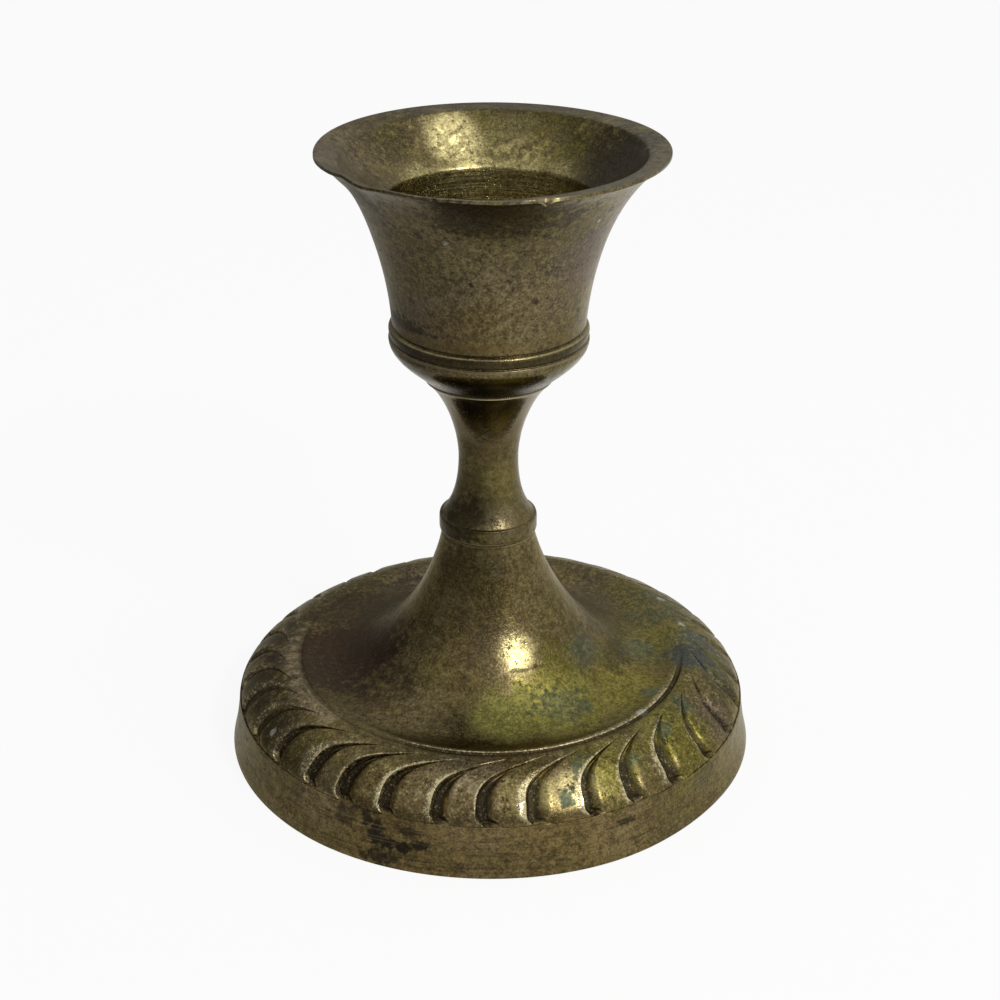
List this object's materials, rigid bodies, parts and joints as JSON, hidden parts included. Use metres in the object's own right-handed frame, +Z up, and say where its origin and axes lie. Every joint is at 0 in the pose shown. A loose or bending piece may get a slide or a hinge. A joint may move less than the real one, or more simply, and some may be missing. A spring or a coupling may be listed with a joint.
{
  "type": "taper candle holder",
  "caption": "Footed brass taper candle holder: flared bell cup with a straight candle seat, waisted stem, and a wide round foot with a swirled gadrooned border.",
  "frame": {"origin": "centre of the flat ring that the foot stands on", "axes": "+Z up along the turned axis, out of the candle seat"},
  "size_m": [0.0768, 0.0768, 0.0884],
  "materials": {
    "cup_brass": "aged, speckled olive patina over turned brass",
    "stem_brass": "aged, speckled olive patina over turned brass",
    "foot_brass": "aged cast brass, brown patina with verdigris patches",
    "fixing_steel": "dull, lightly rusted steel"
  },
  "bodies": {
    "root": {"candle_cup": "cup_brass", "stem": "stem_brass", "foot": "foot_brass", "foot_washer": "fixing_steel", "foot_nut": "fixing_steel"}
  },
  "joints": []
}
